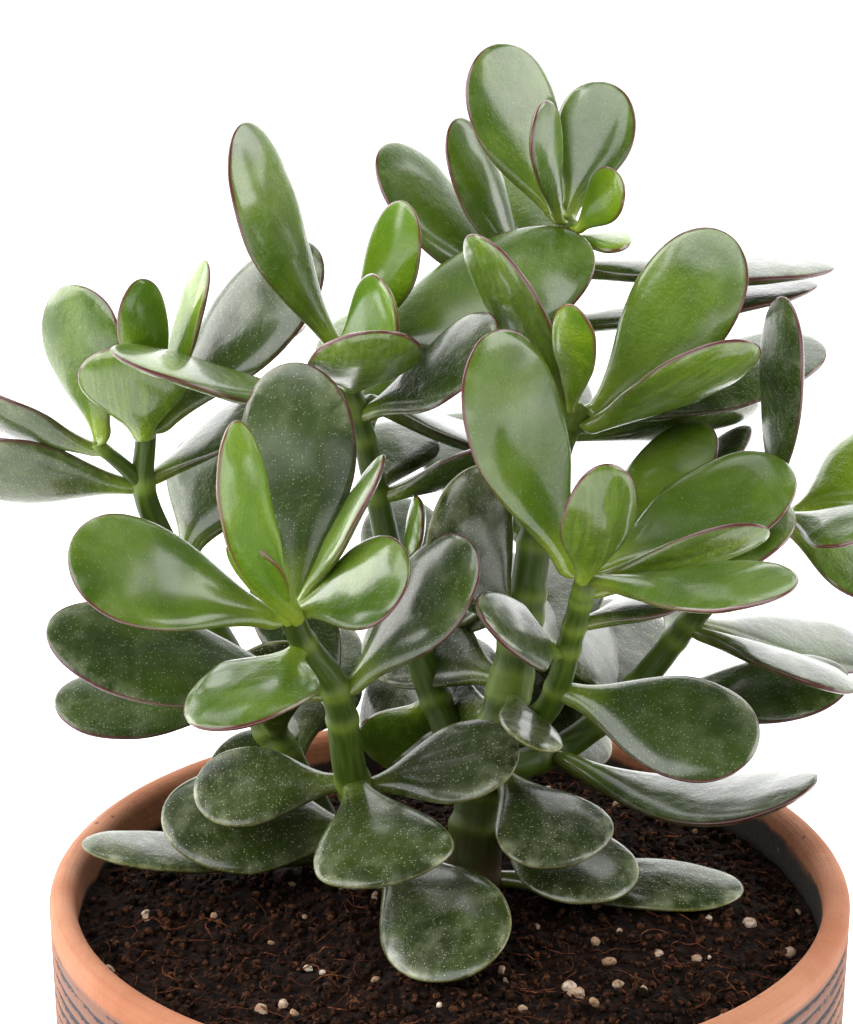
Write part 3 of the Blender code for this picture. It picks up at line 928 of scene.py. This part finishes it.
@dataclass
class Stems:
    """All the stems, with a swollen joint wherever leaves leave them."""

    ground: float                   # height of the soil's crown
    depth: float = 22.0             # of a stem's foot in the soil
    sides: int = 28
    step: float = 1.1
    finish: StemFinish = StemFinish()
    lines: dict[str, Stem] = field(default_factory=dict)

    def __post_init__(self) -> None:
        """Works out each stem's centre line."""
        lift = np.array([0, 0, self.ground])
        for name, shoot in SHOOTS.items():
            points = [lift + np.array(point, float) for point in shoot.points]
            if shoot.parent:
                points.insert(0, self.lines[shoot.parent].at(shoot.parent_along))
            self.lines[name] = Stem(np.array(points), shoot.foot_radius, shoot.tip_radius)

    def skin(self, name: str, joints: Array) -> Skin:
        """A round stem: rings across its line, wider at each joint and rounded over at the tip.

        Args:
            name: the shoot.
            joints: shares of its length at which leaves leave it.

        Returns:
            The stem's skin, with its joints and a lengthwise grain marked.
        """
        line = self.lines[name]
        length = line.reach[-1]
        share = np.linspace(0, 1, int(length / self.step) + 8)
        centre, heading = line.at(share), line.heading(share)
        gap = (share[:, None] - joints[None]) * length
        swell = np.exp(-((gap / 1.5) ** 2)).max(axis=1)
        groove = np.exp(-(((gap - 2.6) / 0.7) ** 2)).max(axis=1)
        radius = line.radius(share) * (1 + 0.10 * swell - 0.03 * groove)
        over = np.clip((share - 1) * length / 2.6 + 1, 0, 1)
        radius = radius * np.sqrt(1 - 0.97 * over**2)
        if not SHOOTS[name].parent:
            deep = centre[:1] - [0, 0, self.depth]
            centre, heading = np.vstack([deep, centre]), np.vstack([[[0, 0, 1.0]], heading])
            radius, swell = np.append(radius[:1], radius), np.append(0, swell)
            share = np.append(0, share)
        across = unit(np.array([1.0, 0, 0]) - heading[:, :1] * heading)
        other = np.cross(heading, across)
        angle = np.linspace(0, 2 * np.pi, self.sides, endpoint=False)
        spoke = np.cos(angle)[:, None] * across[:, None] + np.sin(angle)[:, None] * other[:, None]
        middle = centre[:, None] + radius[:, None, None] * spoke
        rings = middle + (0.03 * radius)[:, None, None] * waves(middle, 9.0, 61, 2)[..., None] * spoke
        tip = centre[-1] + 0.25 * heading[-1]
        skin = closed_skin(rings, centre[0], tip)
        skin.marks["joint"] = ring_marks(swell[:, None] + 0 * angle)
        down = share[:, None] * length
        round_x, round_y = 3.4 * np.cos(angle) + 0 * down, 3.4 * np.sin(angle) + 0 * down
        flow = np.stack([down * 0.10 + 0 * angle, round_x, round_y], -1)
        skin.marks["grain"] = np.vstack([flow.reshape(-1, 3), flow[0, :1], flow[-1, :1]])
        return skin

    def build(self, joints: dict[str, Array]) -> None:
        """Makes and dresses every stem, given the joints of each."""
        bark = self.finish.material()
        for name in SHOOTS:
            piece = make_piece("bark_" + name, self.skin(name, joints[name]), bark)
            if name == "twig":
                hand_over(piece, "stem_left")
            else:
                hand_over(piece, "stem_" + name, "stem_" + name)


# ---------------------------------------------------------------- leaves


@dataclass(frozen=True)
class Leaf:
    """A leaf on a shoot.

    along: where it leaves the stem, from 0 at the foot to 1 at the tip.
    turn, lift: the way it points, round from +X and up from level, in degrees.
    roll: its turn about its own length, in degrees.
    bend: how far it curls up from foot to tip, in degrees.
    sweep: how far it curves within its own plane, in degrees.
    crease: depth of a lengthwise fold in its upper face.
    """

    along: float
    turn: float
    lift: float
    roll: float
    length: float
    width: float
    bend: float = 0.0
    sweep: float = 0.0
    widest: float = 0.62
    age: Age = Age.MATURE
    crease: float = 0.0

    def thickness(self) -> float:
        """A wider leaf is a thicker leaf."""
        return 1.6 + 0.16 * self.width

    def axes(self) -> tuple[Array, Array, Array]:
        """The leaf's direction, the normal of its upper face, and the direction across it."""
        turn, lift, roll = np.radians([self.turn, self.lift, self.roll])
        along = np.array([np.cos(turn) * np.cos(lift), np.sin(turn) * np.cos(lift), np.sin(lift)])
        up = np.array([-np.cos(turn) * np.sin(lift), -np.sin(turn) * np.sin(lift), np.cos(lift)])
        normal = up * np.cos(roll) + np.cross(along, up) * np.sin(roll)
        return along, normal, np.cross(along, normal)

    def half_width(self, share: Array) -> Array:
        """A short neck, then a rise as a sine to the power 1.6, then a fall as a rounded root."""
        climb = np.sin(0.5 * np.pi * np.clip(share / self.widest, 0, 1)) ** 1.6
        past = np.clip((share - self.widest) / (1 - self.widest), 0, 1)
        rise = 0.22 + 0.78 * climb
        return 0.5 * self.width * np.where(share < self.widest, rise, np.sqrt(1 - past**2.3))

    def half_thickness(self, share: Array) -> Array:
        """A little thinner at the neck, full near the middle, and closing at the tip."""
        body = 0.78 + 0.22 * np.sin(0.5 * np.pi * np.clip(share / 0.45, 0, 1))
        closing = np.sqrt(1 - np.clip((share - 0.45) / 0.55, 0, 1) ** 2.6)
        return 0.5 * self.thickness() * body * closing


YOUNG, MID, LOW = Age.YOUNG, Age.MID, Age.LOW

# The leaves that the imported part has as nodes, in its order.
MAIN_LEAVES: dict[str, tuple[Leaf, ...]] = {
    "front": (
        Leaf(0.14, -69, -7, 22, 50, 29, bend=-10, sweep=22, widest=0.66, age=LOW),
        Leaf(0.20, 177, 5, -31, 43, 28, bend=10, widest=0.55, age=LOW),
        Leaf(0.35, -7, 18, 31, 34, 22, bend=-6, age=LOW, crease=0.5),
        Leaf(0.38, 173, -5, -27, 32, 23, bend=12, age=LOW, crease=0.8),
        Leaf(0.39, -75, -12, 9, 34, 31, bend=-8, widest=0.74, age=LOW),
        Leaf(0.70, -13, 52, 49, 43, 22, bend=8, sweep=10),
        Leaf(0.71, -176, 16, -32, 60, 25, bend=14),
        Leaf(0.88, -127, -6, -4, 35, 25, bend=-8, sweep=40, widest=0.38, age=MID),
        Leaf(0.99, -161, 25, -45, 48, 26, bend=-8, widest=0.68, age=MID),
        Leaf(0.99, -30, 29, 51, 30, 21, bend=-6, age=MID),
        Leaf(1.00, -110, 58, -99, 64, 18, bend=10, sweep=20, age=YOUNG),
        Leaf(1.00, 91, 81, -17, 50, 26, bend=8),
    ),
    "trunk": (
        Leaf(0.03, -6, 0, 9, 55, 20, bend=2, age=LOW),
        Leaf(0.13, -33, -10, 8, 34, 28, bend=2, widest=0.50, age=LOW),
        Leaf(0.24, -57, -17, 5, 30, 28, bend=-8, widest=0.68, age=LOW),
        Leaf(0.70, 114, 20, -8, 46, 24, bend=10),
        Leaf(0.96, 26, 9, 13, 62, 25, bend=8),
        Leaf(0.99, -133, 58, -4, 52, 21, bend=4, age=MID),
        Leaf(0.98, -28, 33, -36, 45, 20, bend=8, age=MID),
        Leaf(1.00, -15, 55, 70, 50, 25, bend=8, age=MID),
    ),
    "tall": (
        Leaf(0.34, 96, 30, 6, 42, 22, bend=10),
        Leaf(0.86, -40, 36, 50, 44, 20, bend=8),
        Leaf(0.88, -156, 21, -7, 56, 20, bend=4, age=MID),
        Leaf(0.93, -80, 35, 0, 37, 25, bend=12, widest=0.48, age=MID),
        Leaf(0.98, 10, 21, 39, 59, 27, bend=10, age=MID),
        Leaf(1.00, -162, 69, -51, 54, 21, bend=6, sweep=26, age=MID),
    ),
    "left": (
        Leaf(0.05, -166, 10, -5, 54, 18, bend=6, age=LOW),
        Leaf(0.24, 82, 26, 0, 42, 24, bend=8, age=LOW),
        Leaf(0.58, 112, 2, 0, 40, 22, bend=12),
        Leaf(0.67, 56, 50, 13, 30, 26),
        Leaf(0.84, -174, 10, 64, 41, 20, bend=2),
        Leaf(0.96, -120, 78, 23, 22, 25, bend=10, age=MID),
        Leaf(0.96, 19, 46, 27, 52, 25, bend=6),
    ),
    "crown": (
        Leaf(0.22, 88, 12, 0, 40, 22, bend=10),
        Leaf(0.68, 165, 47, -22, 47, 22, bend=8, sweep=18, age=MID),
        Leaf(0.74, 152, 64, -14, 40, 16, bend=6, sweep=18, age=MID),
        Leaf(0.83, 2, 0, 1, 60, 21, bend=4),
        Leaf(0.99, 147, 68, -21, 39, 24, bend=6, sweep=24, age=MID),
        Leaf(1.00, 40, 71, 20, 29, 20, bend=6, sweep=-12, age=MID),
    ),
    "centre": (
        Leaf(0.41, -19, -9, 33, 43, 27, bend=6),
        Leaf(0.91, 53, 30, 2, 50, 20, bend=4, age=MID),
        Leaf(0.98, -45, 14, 18, 55, 19, bend=6, age=MID),
        Leaf(1.00, -156, 70, -74, 58, 26, bend=6, age=MID),
        Leaf(1.00, -78, 65, 4, 34, 17, bend=16, sweep=16, widest=0.50, age=MID),
        Leaf(1.00, 19, 23, 24, 47, 25, bend=4, age=MID),
    ),
    "right": (
        Leaf(0.22, -25, 6, 6, 61, 24, bend=55),
        Leaf(0.46, -13, 11, 28, 46, 20, bend=2),
        Leaf(0.60, 78, 20, -6, 44, 23, bend=10),
        Leaf(0.65, 28, -18, 21, 54, 20, bend=4),
        Leaf(1.00, -89, 77, 118, 52, 17, bend=4),
        Leaf(1.00, 10, 34, 21, 28, 22, bend=8, age=YOUNG),
    ),
}

# The other leaves, small or hidden ones, which hide no node of the part.
OTHER_LEAVES: dict[str, tuple[Leaf, ...]] = {
    "front": (
        Leaf(0.60, 118, 34, 0, 38, 20, bend=8),
        Leaf(1.00, 0, 62, 6, 37, 14, widest=0.45, age=MID),
        Leaf(1.00, -116, 51, -177, 32, 12, bend=6, age=YOUNG),
    ),
    "trunk": (
        Leaf(0.40, -81, 4, -19, 34, 14, bend=2, age=LOW),
        Leaf(0.44, 72, 16, 8, 46, 24, bend=8, age=LOW),
        Leaf(0.55, -133, 65, -84, 41, 31, bend=8, age=LOW),
        Leaf(0.93, 31, -4, -39, 49, 20, bend=4),
        Leaf(0.42, 135, 2, -39, 40, 24, bend=6, age=LOW),
        Leaf(0.56, 110, -9, -51, 30, 22, bend=6, age=LOW),
        Leaf(0.20, 64, 20, 17, 40, 24, bend=6, age=LOW),
        Leaf(0.34, 125, -15, -61, 52, 30, bend=6, age=LOW),
        Leaf(0.60, 111, -24, -36, 40, 26, bend=6, age=LOW),
        Leaf(0.50, 61, -19, 48, 50, 28, bend=6, age=LOW),
        Leaf(1.00, -92, 46, 150, 46, 11, bend=4, age=YOUNG),
    ),
    "tall": (
        Leaf(0.53, -64, 68, 77, 18, 12, bend=10, age=YOUNG),
        Leaf(0.10, 96, 18, -8, 44, 22, bend=6, age=LOW),
        Leaf(0.22, 129, -53, -127, 26, 20, bend=6, age=MID),
        Leaf(0.67, -12, 24, -33, 32, 18, bend=2),
        Leaf(0.68, 74, 17, 6, 24, 19, bend=8),
        Leaf(0.80, 92, 22, -8, 42, 22, bend=8, age=MID),
        Leaf(0.86, 36, -26, 11, 47, 20, bend=4),
        Leaf(0.98, 66, 5, -4, 39, 14, bend=6, age=MID),
        Leaf(1.00, -22, 68, 71, 36, 15, bend=14, sweep=-28, age=YOUNG),
        Leaf(1.00, -62, 37, 94, 30, 18, bend=14, age=YOUNG),
    ),
    "left": (
        Leaf(0.17, 154, 44, -21, 19, 22, bend=6, age=LOW),
        Leaf(0.26, 76, 9, 22, 40, 22, bend=6, age=LOW),
        Leaf(0.30, -91, 57, -165, 34, 24, bend=6, age=LOW),
        Leaf(0.37, -171, 5, -31, 41, 19, bend=6),
        Leaf(0.59, -116, 50, -69, 24, 14, bend=6, age=MID),
        Leaf(0.67, -141, 47, -33, 19, 14, bend=6, age=MID),
        Leaf(0.85, 28, 27, -4, 34, 19, bend=8),
        Leaf(0.98, -5, 72, 28, 37, 13, age=YOUNG),
        Leaf(0.99, -113, 82, -120, 32, 13, bend=4, age=YOUNG),
        Leaf(1.00, 55, 4, -6, 58, 13, bend=2, age=MID),
    ),
    "twig": (
        Leaf(0.85, 176, 22, 48, 30, 17, bend=10),
        Leaf(0.96, 128, 77, -72, 33, 23, bend=8, sweep=20, age=MID),
    ),
    "crown": (
        Leaf(0.60, 157, 27, -24, 23, 18, bend=6, age=MID),
        Leaf(0.61, 6, 8, 0, 61, 20, bend=4),
        Leaf(0.82, 100, 30, 0, 36, 19, bend=12, age=MID),
        Leaf(0.93, -9, 2, 9, 12, 12, bend=4, age=YOUNG),
        Leaf(0.99, -45, 50, 83, 18, 12, bend=10, age=YOUNG),
        Leaf(1.00, -110, 66, -102, 31, 13, bend=6, age=MID),
    ),
    "centre": (
        Leaf(0.62, -133, 35, -44, 30, 18, bend=-6, widest=0.34),
        Leaf(0.73, 27, 7, -5, 27, 17, bend=4),
        Leaf(0.86, 54, 18, -16, 68, 16, bend=4),
        Leaf(0.91, 18, 17, 17, 47, 25, bend=4, age=MID),
        Leaf(0.99, -15, 22, -45, 38, 15, bend=6, age=MID),
    ),
    "right": (
        Leaf(0.34, 112, 24, 0, 44, 24, bend=8),
        Leaf(0.36, 77, 13, 19, 44, 24, bend=6, age=LOW),
        Leaf(0.18, 63, -3, 36, 36, 26, bend=6, age=LOW),
        Leaf(0.65, -30, -9, -8, 39, 17, bend=-6),
        Leaf(0.84, 100, 0, 0, 40, 21, bend=12),
        Leaf(0.97, -14, -27, 21, 28, 20, bend=6, age=MID),
        Leaf(1.00, -53, 12, 21, 28, 18, bend=6, age=MID),
    ),
}


@dataclass
class Foliage:
    """All the leaves: plump blades with a thin rim, whose necks run into the stems."""

    stems: Stems
    sides: int = 36
    neck_rows: int = 5
    blade_rows: int = 16            # up to the widest place, and again from there to the tip
    edge_power: float = 1.18        # above 1, the faces meet at the rim more sharply than an ellipse's
    cup: float = 0.06               # hollow of the upper face, against half the width
    ripple: tuple[float, float] = (0.34, 11.0)      # height and length of the waves in its faces
    flutter: tuple[float, float] = (0.35, 13.0)     # and of those along its rim
    clearance: float = 0.3          # from the stem's skin to the blade

    def foot(self, leaf: Leaf, stem: Stem) -> Array:
        """Where the blade starts, just off the stem's skin."""
        along = leaf.axes()[0]
        heading = stem.heading(leaf.along)
        outward = unit(along - (along @ heading) * heading)
        reach = self.clearance + (0.39 * leaf.thickness() + 0.2) * abs(along @ heading)
        return stem.at(leaf.along) + outward * (stem.radius(leaf.along) + reach)

    def blade(self, leaf: Leaf, seed: int) -> tuple[Array, Array, dict[str, Array]]:
        """The blade in its own frame, with X along it from its foot and Z up from its face.

        Its middle is part of a circle, swept sideways by a parabola. A ring is the half width times
        a cosine across, and the half thickness times a power of the sine upwards, on a shallow cup.

        Args:
            leaf: its sizes.
            seed: fixes the small waves in its surface.

        Returns:
            The rings, the tip, and the marks of each ring point.
        """
        early = np.linspace(0, leaf.widest, self.blade_rows, endpoint=False)
        late = np.sin(np.linspace(0, 0.5 * np.pi, self.blade_rows + 2)[:-1])
        share = np.concatenate([early, leaf.widest + (1 - leaf.widest) * late, [1.0]])
        bend = radians(leaf.bend if abs(leaf.bend) > 0.1 else 0.1)
        arc = leaf.length / (2 * np.sin(bend / 2))
        pitch = bend * (share - 0.5)
        sweep = radians(leaf.sweep)
        bow = -0.5 * leaf.length * sweep * share * (share - 1)
        rise = arc * (np.cos(bend / 2) - np.cos(pitch))
        middle = np.stack([arc * (np.sin(pitch) + np.sin(bend / 2)), bow, rise], -1)
        yaw = sweep * (share - 0.5)
        upward = np.stack([-np.sin(pitch), 0 * pitch, np.cos(pitch)], -1)
        level = np.stack([np.cos(yaw) * np.cos(pitch), -np.sin(yaw), np.cos(yaw) * np.sin(pitch)], -1)
        across = np.cross(upward, level)
        around = np.linspace(0, 2 * np.pi, self.sides, endpoint=False)
        side, lift = np.cos(around), np.sin(around)
        wide, high = leaf.half_width(share)[:, None], leaf.half_thickness(share)[:, None]
        out = wide * side
        face = high * np.sign(lift) * np.abs(lift) ** self.edge_power
        face = face + self.cup * wide * (side**2 - 0.5)
        body = eased(share, 0.12, 0.4)[:, None] * eased(1 - share, 0.0, 0.2)[:, None]
        fold = np.exp(-(((side - 0.18) / 0.16) ** 2)) * (lift > 0)
        face = face - leaf.crease * fold * body
        place = np.stack([share[:, None] * leaf.length + 0 * side, out, face], -1) + 40.0 * seed
        ripple = self.ripple[0] * waves(place, self.ripple[1], seed, 2) * body
        flutter = self.flutter[0] * waves(place * [1, 0, 0], self.flutter[1], seed + 3) * side**6 * body
        face = face + ripple + flutter
        rings = middle[:, None] + out[..., None] * across[:, None] + face[..., None] * upward[:, None]
        rim = wide * (1 - np.abs(side)) + high * np.abs(lift) ** self.edge_power
        marks = {
            "along": share[:, None] + 0 * side,
            "rim": np.minimum(rim, 8.0),
            "upper": 0.5 + 0.5 * np.clip(4 * lift, -1, 1) + 0 * wide,
            "flow_x": share[:, None] * leaf.length * 0.07 + 0 * side + seed,
            "flow_y": out * 0.85,
            "flow_z": face * 0.4,
        }
        return rings[:-1], middle[-1], {key: value[:-1] for key, value in marks.items()}

    def skin(self, leaf: Leaf, stem: Stem, seed: int) -> Skin:
        """The blade set in its place, with a neck that bends down into the stem.

        The neck's middle is a quadratic curve from inside the stem to the foot of the blade, and its
        rings are the blade's first ring, carried along it and a little narrower inside the stem.

        Args:
            leaf: its sizes and direction.
            stem: the stem it grows on.
            seed: fixes its small differences from the others.

        Returns:
            The leaf's skin with the marks that its finish reads.
        """
        along, normal, side = leaf.axes()
        turned = np.stack([along, -side, normal], -1)
        foot = self.foot(leaf, stem)
        rings, tip, marks = self.blade(leaf, seed)
        rings, tip = rings @ turned.T + foot, tip @ turned.T + foot
        start = stem.at(leaf.along) - 0.8 * stem.heading(leaf.along)
        first = rings[0] - foot
        entry = unit(rings[1].mean(axis=0) - foot)
        bendy = foot - entry * 0.55 * np.linalg.norm(foot - start)
        t = np.linspace(0, 1, self.neck_rows, endpoint=False)[:, None]
        line = (1 - t) ** 2 * start + 2 * t * (1 - t) * bendy + t**2 * foot
        neck = line[:, None] + (0.72 + 0.28 * t[:, :, None]) * first[None]
        skin = closed_skin(np.concatenate([neck, rings]), start, tip)
        kept = {}
        for key, value in marks.items():
            kept[key] = ring_marks(np.vstack([np.repeat(value[:1], self.neck_rows, axis=0), value]))
        skin.marks = {key: kept[key] for key in ("along", "rim", "upper")}
        skin.marks["grain"] = np.stack([kept["flow_x"], kept["flow_y"], kept["flow_z"]], -1)
        tone = 0.35 + 0.65 * np.random.default_rng(seed + 100).uniform()
        skin.marks["tone"] = np.full(len(skin.points), tone)
        return skin

    def joints(self) -> dict[str, Array]:
        """Where leaves leave each stem, as shares of its length."""
        rows = {name: MAIN_LEAVES.get(name, ()) + OTHER_LEAVES.get(name, ()) for name in SHOOTS}
        return {name: np.array([leaf.along for leaf in leaves]) for name, leaves in rows.items()}

    def neighbour(self, shoot: str, leaf: Leaf) -> str:
        """The node on the same shoot whose leaf is nearest in age, and then in place."""
        shoot = "left" if shoot == "twig" else shoot
        rows = MAIN_LEAVES[shoot]
        far = [(row.age is not leaf.age) + abs(row.along - leaf.along) for row in rows]
        return f"leaf_{shoot}_{int(np.argmin(far)) + 1:02d}"

    def build(self) -> None:
        """Makes and dresses every leaf."""
        finishes = {age: age.value.material() for age in Age}
        seed = 0
        for shoot in SHOOTS:
            main = MAIN_LEAVES.get(shoot, ())
            for number, leaf in enumerate(main + OTHER_LEAVES.get(shoot, ()), 1):
                seed += 1
                name = f"leaf_{shoot}_{number:02d}"
                skin = self.skin(leaf, self.stems.lines[shoot], seed)
                piece = make_piece(name.replace("leaf", "blade"), skin, finishes[leaf.age])
                if number <= len(main):
                    hand_over(piece, name, name)
                else:
                    hand_over(piece, self.neighbour(shoot, leaf))


# ---------------------------------------------------------------- studio


@dataclass(frozen=True)
class Lamp:
    """A soft square light."""

    name: str
    place: tuple[float, float, float]
    size: float
    power: float
    colour: tuple[float, float, float] = (1.0, 1.0, 1.0)


@dataclass
class Studio:
    """A pale floor, a surround that is dim in front and bright behind, soft lamps and the camera.

    Places are in metres.
    """

    eye: tuple[float, float, float] = (-0.00519, -0.7132, 0.5035)
    tilt: float = 69.91
    lens: float = 123.05
    look_at: tuple[float, float, float] = (0.0, 0.0, 0.2)
    floor_radius: float = 4.0
    floor_sides: int = 96
    surround: tuple[float, float] = (0.13, 3.2)     # strength in front and above, and behind
    bright_heading: tuple[float, float, float] = (-0.10, 0.97, 0.22)
    bright_band: tuple[float, float] = (0.25, 0.85)     # cosines to that heading where it fades in
    lamps: tuple[Lamp, ...] = (
        Lamp("left", (-1.10, 0.15, 0.64), 0.90, 16.0, (1.0, 0.99, 0.96)),
        Lamp("right", (1.10, -0.02, 0.76), 1.00, 16.0, (1.0, 0.99, 0.96)),
        Lamp("brow", (-0.66, -0.66, 1.10), 1.30, 21.0),
    )

    def floor(self) -> None:
        """A wide round floor of plain white paint."""
        shade = Shade("floor_paint")
        cloud = shade.band(shade.noise(3.0, 2.0), 0.3, 0.7)
        grey = shade.mix(cloud, paint(240, 240, 239), paint(244, 244, 243))
        sides = self.floor_sides
        angle = np.linspace(0, 2 * np.pi, sides, endpoint=False)
        edge = self.floor_radius / MM
        rim = np.stack([edge * np.cos(angle), edge * np.sin(angle), 0 * angle], -1)
        centre = np.zeros((1, 3))
        here = np.arange(sides)
        faces = np.stack([np.full(sides, sides), here, (here + 1) % sides], -1).tolist()
        skin = Skin(np.vstack([rim, centre]), faces)
        material = shade.finish(
            base_color=grey, roughness=0.7, emission_color=(1.0, 1.0, 1.0, 1.0), emission_strength=0.45,
        )
        make_piece("studio_floor", skin, material)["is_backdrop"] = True

    def light(self) -> None:
        """The surround and the lamps, each turned to the plant.

        The surround's strength follows the cosine between a direction and the bright heading. Seen
        straight from the camera it is at least 1, which shows as plain white.
        """
        world = bpy.data.worlds.new("surround")
        world.use_nodes = True
        tree = world.node_tree
        heading = tree.nodes.new("ShaderNodeTexCoord").outputs["Generated"]
        lean = tree.nodes.new("ShaderNodeVectorMath")
        lean.operation = "DOT_PRODUCT"
        lean.inputs[1].default_value = self.bright_heading
        spread = tree.nodes.new("ShaderNodeMapRange")
        spread.interpolation_type = "SMOOTHSTEP"
        limits = zip(("From Min", "From Max", "To Min", "To Max"), self.bright_band + self.surround)
        for name, value in limits:
            spread.inputs[name].default_value = value
        seen = tree.nodes.new("ShaderNodeLightPath").outputs["Is Camera Ray"]
        bright = tree.nodes.new("ShaderNodeMath")
        bright.operation = "MAXIMUM"
        tree.links.new(heading, lean.inputs[0])
        tree.links.new(lean.outputs["Value"], spread.inputs["Value"])
        tree.links.new(spread.outputs[0], bright.inputs[0])
        tree.links.new(seen, bright.inputs[1])
        tree.links.new(bright.outputs[0], tree.nodes["Background"].inputs["Strength"])
        tree.nodes["Background"].inputs["Color"].default_value = (1.0, 1.0, 1.0, 1.0)
        bpy.context.scene.world = world
        for lamp in self.lamps:
            data = bpy.data.lights.new(lamp.name, "AREA")
            data.shape = "SQUARE"
            data.size = lamp.size
            data.energy = lamp.power
            data.color = lamp.colour
            placed = bpy.data.objects.new(lamp.name, data)
            bpy.context.scene.collection.objects.link(placed)
            back = unit(np.array(lamp.place) - np.array(self.look_at))
            placed.location = lamp.place
            placed.rotation_euler = (np.arccos(back[2]), 0.0, np.arctan2(back[0], -back[1]))

    def camera(self) -> None:
        """The camera, level from side to side and tilted down."""
        data = bpy.data.cameras.new("camera")
        data.lens = self.lens
        data.sensor_width = 36.0
        data.clip_end = 20.0
        placed = bpy.data.objects.new("camera", data)
        placed.location = self.eye
        placed.rotation_euler = (radians(self.tilt), 0.0, 0.0)
        bpy.context.scene.collection.objects.link(placed)
        bpy.context.scene.camera = placed

    def build(self) -> None:
        """Sets the studio up."""
        self.floor()
        self.light()
        self.camera()
        bpy.context.scene.view_settings.view_transform = "Standard"


def corners() -> list[list[float]]:
    """The shown object's lowest and highest corners, as plain numbers."""
    return [[float(number) for number in corner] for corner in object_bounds()]


def main() -> None:
    """Loads the frame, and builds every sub-assembly on it."""
    logging.basicConfig(level=logging.INFO, format="%(message)s")
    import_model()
    Studio().build()
    pot = Pot()
    pot.build()
    soil = Soil(pot)
    soil.build()
    stems = Stems(ground=pot.height - soil.drop + soil.crown)
    foliage = Foliage(stems)
    stems.build(foliage.joints())
    foliage.build()
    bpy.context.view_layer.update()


if __name__ == "__main__":
    main()
